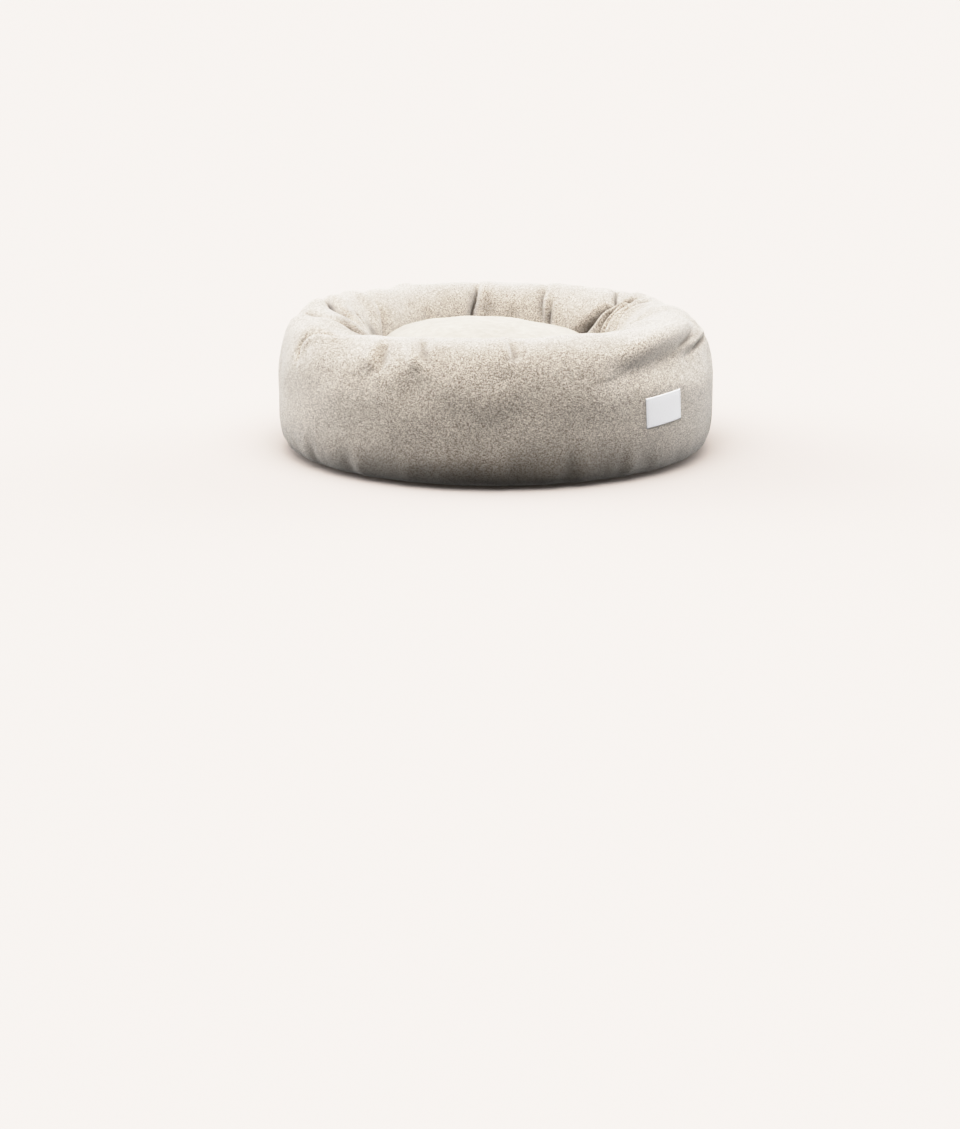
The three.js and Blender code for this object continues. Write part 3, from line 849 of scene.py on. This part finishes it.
def make_cushion():
    piece = make_object("cushion_cover", merged_copy("cushion", "cushion_cover"))
    remesh = piece.modifiers.new("even", "REMESH")
    remesh.mode = "VOXEL"
    remesh.voxel_size = CUSHION_VOXEL * MM
    applied(piece)
    swell(piece)
    finer = piece.modifiers.new("finer", "SUBSURF")
    finer.levels = finer.render_levels = 1
    applied(piece)
    crease_cushion(piece)
    places = read_places(piece.data)
    places[:, 2] = np.maximum(places[:, 2], corner_mm("cushion", 0)[2])
    write_places(piece.data, places)
    smooth(piece)
    return piece


# Label: a woven patch sewn on the front wall, its right end a little higher

LABEL_STEP = 0.8
TOUCH_GAP = 0.3
# Its edge is thinner and rounded, and its stitches lie in a groove
EDGE_SHARE, EDGE_ROUNDING = 0.35, 0.9
STITCH_INSET = 2.2
GROOVE_DEPTH, GROOVE_WIDTH = 0.3, 0.7
STITCH_SUNK = 0.15
SIDE_STEPS = 24
LABEL_STITCH = {"pitch": 2.6, "length": 2.1, "radius": 0.28}


def label_frame(along, up, off):
    """Places on the label, along and up it in millimetres from its middle, off the plain wall."""
    lean = math.radians(LABEL["lean"])
    along_wall = along * math.cos(lean) - up * math.sin(lean)
    up_wall = along * math.sin(lean) + up * math.cos(lean)
    bearing = LABEL["bearing"] + np.degrees(along_wall / (BED_DIAMETER / 2))
    wall_turns = np.linspace(-60, 60, 601)
    turn = np.interp(LABEL["height"] + up_wall, section(wall_turns)[1], wall_turns)
    radius, height, out_across, out_up = section(turn)
    return on_bed(bearing, radius + off * out_across, height + off * out_up)


def make_label():
    """A thin pillow-edged patch: a front face over a flat back."""
    columns = round(LABEL["width"] / LABEL_STEP)
    rows = round(LABEL["depth"] / LABEL_STEP)
    half_width, half_depth = LABEL["width"] / 2, LABEL["depth"] / 2
    along = np.linspace(-half_width, half_width, columns + 1)
    up = np.linspace(-half_depth, half_depth, rows + 1)
    along, up = np.meshgrid(along, up, indexing="ij")
    to_edge = np.minimum(half_width - np.abs(along), half_depth - np.abs(up))
    front = EDGE_SHARE + (1 - EDGE_SHARE) * ease(to_edge, 0, EDGE_ROUNDING)
    front = TOUCH_GAP + LABEL["thickness"] * front
    front -= GROOVE_DEPTH * bell((to_edge - STITCH_INSET) / GROOVE_WIDTH)
    layers = [label_frame(along, up, off).reshape(-1, 3) for off in (front, TOUCH_GAP / 2)]
    count = (columns + 1) * (rows + 1)

    def number(layer, column, row):
        return layer * count + column * (rows + 1) + row

    faces = []
    for column in range(columns):
        for row in range(rows):
            corners = [(column, row), (column + 1, row), (column + 1, row + 1), (column, row + 1)]
            faces.append([number(0, *corner) for corner in corners])
            faces.append([number(1, *corner) for corner in reversed(corners)])
    border = [(c, 0) for c in range(columns)] + [(columns, r) for r in range(rows)]
    border += [(c, rows) for c in range(columns, 0, -1)] + [(0, r) for r in range(rows, 0, -1)]
    for here, after in zip(border, border[1:] + border[:1]):
        faces.append([number(0, *after), number(0, *here), number(1, *here), number(1, *after)])
    mesh = bpy.data.meshes.new("label_patch")
    mesh.from_pydata((np.concatenate(layers) * MM).tolist(), [], faces)
    flat_map = np.stack([along.ravel(), up.ravel()], -1) * MM
    flat_map = np.concatenate([flat_map, flat_map])
    loops = np.zeros(len(mesh.loops), int)
    mesh.loops.foreach_get("vertex_index", loops)
    mesh.uv_layers.new(name=CLOTH_MAP).data.foreach_set("uv", flat_map[loops].ravel())
    piece = make_object("label_patch", mesh)
    smooth(piece)
    return piece


# Stitches, laid along a path by Geometry Nodes

def stitch_tree(material):
    """A node tree that lays one short thread after another along a path."""
    tree = bpy.data.node_groups.new("stitches", "GeometryNodeTree")
    sockets = tree.interface
    sockets.new_socket("Geometry", in_out="INPUT", socket_type="NodeSocketGeometry")
    for name in ("Stitch Pitch", "Stitch Length", "Thread Radius"):
        sockets.new_socket(name, in_out="INPUT", socket_type="NodeSocketFloat")
    sockets.new_socket("Geometry", in_out="OUTPUT", socket_type="NodeSocketGeometry")

    def node(kind, settings=None, values=None):
        made = tree.nodes.new(kind)
        for name, value in (settings or {}).items():
            setattr(made, name, value)
        for name, value in (values or {}).items():
            if isinstance(value, bpy.types.NodeSocket):
                tree.links.new(value, made.inputs[name])
            else:
                made.inputs[name].default_value = value
        return made.outputs

    given = node("NodeGroupInput")
    curve = node("GeometryNodeMeshToCurve", values={"Mesh": given["Geometry"]})
    points = node(
        "GeometryNodeCurveToPoints",
        {"mode": "LENGTH"},
        {"Curve": curve["Curve"], "Length": given["Stitch Pitch"]},
    )
    bead = node("GeometryNodeMeshUVSphere", values={"Segments": 8, "Rings": 6, "Radius": 1.0})
    size = node("ShaderNodeCombineXYZ", values={
        "X": given["Thread Radius"], "Y": given["Thread Radius"], "Z": given["Stitch Length"],
    })
    laid = node("GeometryNodeInstanceOnPoints", values={
        "Points": points["Points"], "Instance": bead["Mesh"],
        "Rotation": points["Rotation"], "Scale": size["Vector"],
    })
    real = node("GeometryNodeRealizeInstances", values={"Geometry": laid["Instances"]})
    shaded = node("GeometryNodeSetMaterial", values={"Geometry": real["Geometry"], "Material": material})
    node("NodeGroupOutput", values={"Geometry": shaded["Geometry"]})
    return tree


def lay_stitches(name, path, material, pitch, length, radius):
    """Stitches along a closed path of places in millimetres, as one plain mesh."""
    mesh = bpy.data.meshes.new(name)
    edges = [(i, (i + 1) % len(path)) for i in range(len(path))]
    mesh.from_pydata((path * MM).tolist(), edges, [])
    piece = make_object(name, mesh)
    rows = piece.modifiers.new("stitches", "NODES")
    rows.node_group = stitch_tree(material)
    sizes = {"Stitch Pitch": pitch * MM, "Stitch Length": length / 2 * MM, "Thread Radius": radius * MM}
    for item in rows.node_group.interface.items_tree:
        if item.name in sizes:
            rows[item.identifier] = sizes[item.name]
    applied(piece)
    smooth(piece)
    return piece


def label_stitches(material):
    across, high = LABEL["width"] / 2 - STITCH_INSET, LABEL["depth"] / 2 - STITCH_INSET
    corners = [(-across, -high), (across, -high), (across, high), (-across, high)]
    path = np.concatenate([
        np.linspace(start, end, SIDE_STEPS, endpoint=False)
        for start, end in zip(corners, corners[1:] + corners[:1])
    ])
    places = label_frame(path[:, 0], path[:, 1], TOUCH_GAP + LABEL["thickness"] - STITCH_SUNK)
    return lay_stitches("label_stitches", places, material, **LABEL_STITCH)


# Base panel: a flat round of cloth with a sewn, rounded edge

PANEL_RINGS = [30, 60, 90, 120, 150, 175, 190, 200, 204, 206, 207.5, 209, 210.5, 212]
PANEL_COLUMNS = 192
EDGE_STEPS = 8
HEM_INSET = 7.5
HEM_DEPTH, HEM_WIDTH = 0.5, 1.2
HEM_STITCH = {"pitch": 4, "length": 3.2, "radius": 0.28}
HEM_STITCH_HEIGHT = 0.3


def make_base_panel():
    """A flat round, grooved under its row of stitches."""
    high = corner_mm("base_panel", 1)
    radius, thickness = high[0], high[2]
    hem = radius - HEM_INSET
    rings = [(r, HEM_DEPTH * float(bell((r - hem) / HEM_WIDTH))) for r in PANEL_RINGS]
    rounding = [
        (radius - thickness / 2 * (1 - math.sin(angle)), thickness / 2 * (1 - math.cos(angle)))
        for angle in np.linspace(0, np.pi, EDGE_STEPS + 1)
    ]
    top = [(r, thickness) for r, _ in reversed(rings)]
    profile = rings + rounding + top
    angles = np.arange(PANEL_COLUMNS) * 2 * np.pi / PANEL_COLUMNS
    places = [(0, 0, 0)]
    for r, height in profile:
        places += [(r * math.cos(a), r * math.sin(a), height) for a in angles]
    places.append((0, 0, thickness))
    last = len(places) - 1
    faces = []
    for i in range(PANEL_COLUMNS):
        beside = (i + 1) % PANEL_COLUMNS
        faces.append((0, 1 + beside, 1 + i))
        for ring in range(len(profile) - 1):
            here, after = 1 + ring * PANEL_COLUMNS, 1 + (ring + 1) * PANEL_COLUMNS
            faces.append((here + i, here + beside, after + beside, after + i))
        end = 1 + (len(profile) - 1) * PANEL_COLUMNS
        faces.append((last, end + i, end + beside))
    mesh = bpy.data.meshes.new("base_round")
    mesh.from_pydata((np.array(places) * MM).tolist(), [], faces)
    piece = make_object("base_round", mesh)
    smooth(piece)
    return piece


def base_stitches(material):
    radius = corner_mm("base_panel", 1)[0] - HEM_INSET
    angles = np.radians(np.arange(360))
    height = np.full(len(angles), HEM_STITCH_HEIGHT)
    path = np.stack([radius * np.cos(angles), radius * np.sin(angles), height], -1)
    return lay_stitches("base_stitches", path, material, **HEM_STITCH)


# Materials

class Wire:
    """A node's output; each sum written with it adds its own Math node."""

    def __init__(self, recipe, socket):
        self.recipe = recipe
        self.socket = socket

    def maths(self, operation, *values):
        inputs = dict(enumerate(values))
        return self.recipe.node("ShaderNodeMath", {"operation": operation}, inputs)

    def __add__(self, other):
        return self.maths("ADD", self, other)

    def __radd__(self, other):
        return self.maths("ADD", other, self)

    def __sub__(self, other):
        return self.maths("SUBTRACT", self, other)

    def __rsub__(self, other):
        return self.maths("SUBTRACT", other, self)

    def __mul__(self, other):
        return self.maths("MULTIPLY", self, other)

    def __rmul__(self, other):
        return self.maths("MULTIPLY", other, self)

    def __truediv__(self, other):
        return self.maths("DIVIDE", self, other)

    def __pow__(self, other):
        return self.maths("POWER", self, other)

    def __mod__(self, other):
        return self.maths("FLOORED_MODULO", self, other)

    def floor(self):
        return self.maths("FLOOR", self)

    def clamped(self):
        return self.maths("MAXIMUM", self.maths("MINIMUM", self, 1.0), 0.0)


class Recipe:
    """A node tree that is written down as Python."""

    def __init__(self, tree):
        self.tree = tree

    def node(self, kind, settings=None, values=None, output=0):
        made = self.tree.nodes.new(kind)
        for name, value in (settings or {}).items():
            setattr(made, name, value)
        for name, value in (values or {}).items():
            if isinstance(value, Wire):
                self.tree.links.new(value.socket, made.inputs[name])
            else:
                made.inputs[name].default_value = value
        return Wire(self, made.outputs[output])

    def parts(self, vector):
        """The three numbers of a vector."""
        split = self.node("ShaderNodeSeparateXYZ", values={"Vector": vector}).socket.node
        return [Wire(self, output) for output in split.outputs]

    def vector(self, x, y):
        return self.node("ShaderNodeCombineXYZ", values={"X": x, "Y": y})

    def noise(self, vector, scale, detail=2.0, roughness=0.5):
        values = {"Vector": vector, "Scale": scale, "Detail": detail, "Roughness": roughness}
        return self.node("ShaderNodeTexNoise", values=values)

    def between(self, value, start, end):
        values = {"Value": value, "From Min": start, "From Max": end}
        return self.node("ShaderNodeMapRange", values=values)

    def attribute(self, name):
        """A number that the piece's mesh holds at each point."""
        return self.node("ShaderNodeAttribute", {"attribute_name": name}, output=2)

    def object_place(self):
        return self.node("ShaderNodeTexCoord", output=3)

    def cloth_place(self):
        """Places along and up the cloth map, in metres."""
        return self.parts(self.node("ShaderNodeUVMap", {"uv_map": CLOTH_MAP}))[:2]

    def blend(self, factor, first, second):
        """Two colours, blended by a factor."""
        values = {0: factor, 6: first, 7: second}
        return self.node("ShaderNodeMix", {"data_type": "RGBA"}, values, output=2)


def colour(red, green, blue):
    """A colour as the eye reads it, from 0 to 255, in the form that shaders take."""
    linear = []
    for value in (red, green, blue):
        share = value / 255
        linear.append(share / 12.92 if share <= 0.04045 else ((share + 0.055) / 1.055) ** 2.4)
    return (*linear, 1)


def new_fabric(name, roughness, sheen):
    """A material with a fabric's fixed values, its recipe and its shader."""
    material = bpy.data.materials.new(name)
    material.use_nodes = True
    shader = material.node_tree.nodes["Principled BSDF"]
    shader.inputs["Roughness"].default_value = roughness
    shader.inputs["Sheen Weight"].default_value = sheen
    shader.inputs["Sheen Roughness"].default_value = 0.6
    shader.inputs["Specular IOR Level"].default_value = 0.2
    return material, Recipe(material.node_tree), shader


def dress(recipe, shader, tone, height, distance):
    """Links a colour and a bump height to the shader."""
    bump = recipe.node("ShaderNodeBump", values={"Height": height, "Distance": distance * MM})
    recipe.tree.links.new(tone.socket, shader.inputs["Base Color"])
    recipe.tree.links.new(bump.socket, shader.inputs["Normal"])


def yarn_edge(place):
    """0 along the middle of a yarn and 1 at its two edges, for a place counted in yarns."""
    return ((place % 1.0) * 2.0 - 1.0) ** 2.0


YARN_PITCH = 0.85
SLUB_LENGTH = 3.4
# The third colour is painted shade, laid over the weave in creases and low by the base seam
TAUPE_YARN, LIGHT_YARN, CREASE_SHADE_COLOUR = (111, 93, 74), (231, 221, 208), (96, 83, 70)
# How much each of these counts in the yarns' colour and in their height
IN_COLOUR = {"fleck": 0.42, "slub": 0.42, "fibre": 0.16, "cloudy": 0.05}
IN_HEIGHT = {"yarns": 0.35, "slub": 0.7, "fleck": 0.5, "fibre": 0.15}


def heathered_weave():
    """Linen-look plain weave: light yarns flecked with taupe, with thick places along the yarns."""
    material, cloth, shader = new_fabric("heathered_weave", 0.92, 0.8)
    shader.inputs["Sheen Roughness"].default_value = 0.5
    along, up = cloth.cloth_place()
    place = cloth.vector(along, up)
    wander = cloth.noise(place, 60, 1.0) - 0.5
    across_yarns = along / (YARN_PITCH * MM) + wander * 2.0
    up_yarns = up / (YARN_PITCH * MM) + wander * 1.4
    warp, weft = across_yarns.floor(), up_yarns.floor()
    crossing = cloth.vector(warp, weft)
    along_slubs = cloth.vector(across_yarns * (YARN_PITCH / SLUB_LENGTH), weft * 3.7)
    seen = {
        "fleck": cloth.node("ShaderNodeTexWhiteNoise", {"noise_dimensions": "2D"}, {"Vector": crossing}),
        "slub": cloth.noise(along_slubs, 1.0, 1.0),
        "fibre": cloth.noise(place, 900, 1.0),
        "cloudy": cloth.noise(place, 30),
    }
    weft_on_top = (warp + weft) % 2.0
    top_rib = (1.0 - yarn_edge(up_yarns)) * weft_on_top
    seen["yarns"] = top_rib + (1.0 - yarn_edge(across_yarns)) * (1.0 - weft_on_top)
    mixed = sum(seen[name] * share for name, share in IN_COLOUR.items())
    height = sum(seen[name] * share for name, share in IN_HEIGHT.items())
    # Loose fibres take over where the cloth map is stretched
    stretched = cloth.attribute(STRETCH_MAP)
    loose = cloth.noise(cloth.object_place(), 800, 1.0)
    mixed = mixed + (loose * 1.3 - 0.15 - mixed) * stretched
    height = height + (loose * 1.4 - height) * stretched
    # Painted shade: the weave is darkened towards the shade colour, and a dark sheenless copy mixed in,
    # by this map
    painted_shade = cloth.attribute(CREASE_SHADE_MAP)
    base = cloth.blend(cloth.between(mixed, 0.3, 0.75), colour(*TAUPE_YARN), colour(*LIGHT_YARN))
    dress(cloth, shader, cloth.blend(painted_shade * 0.6, base, colour(*CREASE_SHADE_COLOUR)), height, 0.8)
    paint_crease_shade(cloth, painted_shade)
    return material


def paint_crease_shade(cloth, painted_shade):
    """Painted shade: in creases and low by the base seam, a dark copy of the cloth without its sheen is
    mixed in.
    """
    nodes = cloth.tree.nodes
    # A dark, sheenless copy of the cloth, painted in as shade
    pressed = nodes.new("ShaderNodeBsdfPrincipled")
    pressed.inputs["Base Color"].default_value = colour(70, 60, 50)
    pressed.inputs["Roughness"].default_value = 1
    pressed.inputs["Specular IOR Level"].default_value = 0.1
    shaders = [Wire(cloth, shader.outputs["BSDF"]) for shader in (nodes["Principled BSDF"], pressed)]
    both = cloth.node("ShaderNodeMixShader", values={0: painted_shade * 0.75, 1: shaders[0], 2: shaders[1]})
    cloth.tree.links.new(both.socket, nodes["Material Output"].inputs["Surface"])


def short_nap():
    """Smooth pale cloth with a short soft nap."""
    material, cloth, shader = new_fabric("short_nap", 0.95, 0.25)
    place = cloth.object_place()
    fibre = cloth.noise(place, 900, 2.0, 0.6)
    brushed = cloth.noise(place, 130)
    cloudy = cloth.noise(place, 18)
    tone = cloth.between(fibre * 0.35 + brushed * 0.4 + cloudy * 0.25, 0.35, 0.65)
    base = cloth.blend(tone, colour(162, 154, 143), colour(190, 183, 171))
    dress(cloth, shader, base, fibre * 0.5 + brushed, 0.5)
    return material


def dense_label_weave():
    """Close white weave with fine ribs; bare."""
    material, cloth, shader = new_fabric("dense_label_weave", 0.7, 0.1)
    along, up = cloth.cloth_place()
    ribs = yarn_edge(up / (0.45 * MM)) * 0.6 + yarn_edge(along / (0.6 * MM)) * 0.4
    thread = cloth.noise(cloth.vector(along * 0.3, up), 1500, 1.0)
    base = cloth.blend(cloth.between(thread, 0.3, 0.7), colour(238, 238, 241), colour(248, 248, 251))
    dress(cloth, shader, base, 1.0 - ribs + thread * 0.4, 0.12)
    return material


def plain_base_cloth():
    """Plain taupe cloth with a tight square weave."""
    material, cloth, shader = new_fabric("plain_base_cloth", 0.9, 0.1)
    place = cloth.object_place()
    x, y, _ = cloth.parts(place)
    ribs = yarn_edge(x / (0.9 * MM)) + yarn_edge(y / (0.9 * MM))
    fleck = cloth.noise(place, 500, 2.0, 0.6)
    base = cloth.blend(cloth.between(fleck, 0.3, 0.7), colour(126, 117, 107), colour(150, 140, 129))
    dress(cloth, shader, base, 2.0 - ribs + fleck, 0.15)
    return material


def sewing_thread(name, tint):
    """Twisted thread, each stitch a little uneven."""
    material, cloth, shader = new_fabric(name, 0.6, 0.1)
    fibre = cloth.noise(cloth.object_place(), 2500, 1.0)
    darker = tuple(0.8 * value for value in tint[:3]) + (1,)
    dress(cloth, shader, cloth.blend(fibre, darker, tint), fibre, 0.05)
    return material


# Floor and light

FLOOR_TINT = (193, 184, 179)
FLOOR_HALF = 30

# The studio's light, as broad lobes of sky: where each comes from, how narrow it is and how strong
LIGHT_LOBES = [
    # azimuth, elevation, power, strength; azimuth is 0 at the camera and 90 at the right
    (-5, 70, 6, 7.6),
    (117, 5, 9, 6.7),
    (-107, 13, 8, 5.4),
    (150, 8, 6, 1.6),
    (-135, 8, 6, 2.4),
]
AMBIENT = 0.02
SKY_TINT = (1, 0.99, 0.975, 1)

# How bright light is shown: straight at first, then a soft shoulder up to the brightest
BRIGHTEST = 2.2
SHOULDER = [(0.15, 0.15), (0.3, 0.3), (0.5, 0.5), (0.8, 0.74), (1.1, 0.87), (1.4, 0.94), (1.8, 0.98)]


def make_floor():
    mesh = bpy.data.meshes.new("floor")
    corners = [(x * FLOOR_HALF, y * FLOOR_HALF, 0) for x, y in ((-1, -1), (1, -1), (1, 1), (-1, 1))]
    mesh.from_pydata(corners, [], [(0, 1, 2, 3)])
    floor = make_object("floor", mesh)
    material = bpy.data.materials.new("pale_floor")
    material.use_nodes = True
    shader = material.node_tree.nodes["Principled BSDF"]
    shader.inputs["Base Color"].default_value = colour(*FLOOR_TINT)
    shader.inputs["Roughness"].default_value = 1
    shader.inputs["Specular IOR Level"].default_value = 0
    mesh.materials.append(material)
    floor.visible_diffuse = False
    floor.visible_glossy = False


def make_light():
    """A studio sky of a few broad lobes: one above, and two from behind on each side."""
    world = bpy.data.worlds.new("studio")
    scene.world = world
    world.use_nodes = True
    sky = Recipe(world.node_tree)
    direction = sky.node("ShaderNodeTexCoord", output=0)
    strength = AMBIENT
    for azimuth, elevation, power, bright in LIGHT_LOBES:
        turned, raised = math.radians(azimuth), math.radians(elevation)
        level = math.cos(raised)
        towards = (math.sin(turned) * level, -math.cos(turned) * level, math.sin(raised))
        vectors = {0: direction, 1: towards}
        facing = sky.node("ShaderNodeVectorMath", {"operation": "DOT_PRODUCT"}, vectors, output=1)
        strength = facing.clamped() ** power * bright + strength
    background = world.node_tree.nodes["Background"]
    background.inputs["Color"].default_value = SKY_TINT
    world.node_tree.links.new(strength.socket, background.inputs["Strength"])


def soften_brightest():
    """A soft shoulder, as film has, keeps the weave readable in the brightest places."""
    view = scene.view_settings
    view.view_transform = "Standard"
    view.use_curve_mapping = True
    shoulder = view.curve_mapping
    shoulder.white_level = (BRIGHTEST, BRIGHTEST, BRIGHTEST)
    all_colours = shoulder.curves[3].points
    for light, shown in SHOULDER:
        all_colours.new(light / BRIGHTEST, shown)
    shoulder.update()


# The bed, put together

def finish_piece(piece, material, replaced=None):
    piece.data.materials.clear()
    piece.data.materials.append(material)
    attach(piece, "root")
    if replaced:
        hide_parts(replaced)


make_floor()
make_light()
soften_brightest()

bolster = make_bolster()
cushion = make_cushion()
patch = make_label()
base = make_base_panel()
white_thread = sewing_thread("white_thread", colour(236, 236, 238))
taupe_thread = sewing_thread("taupe_thread", colour(150, 140, 129))
patch_stitches = label_stitches(white_thread)
hem_stitches = base_stitches(taupe_thread)

finish_piece(bolster, heathered_weave(), "bolster")
finish_piece(cushion, short_nap(), "cushion")
finish_piece(patch, dense_label_weave(), "label")
finish_piece(base, plain_base_cloth(), "base_panel")
finish_piece(patch_stitches, white_thread)
finish_piece(hem_stitches, taupe_thread)
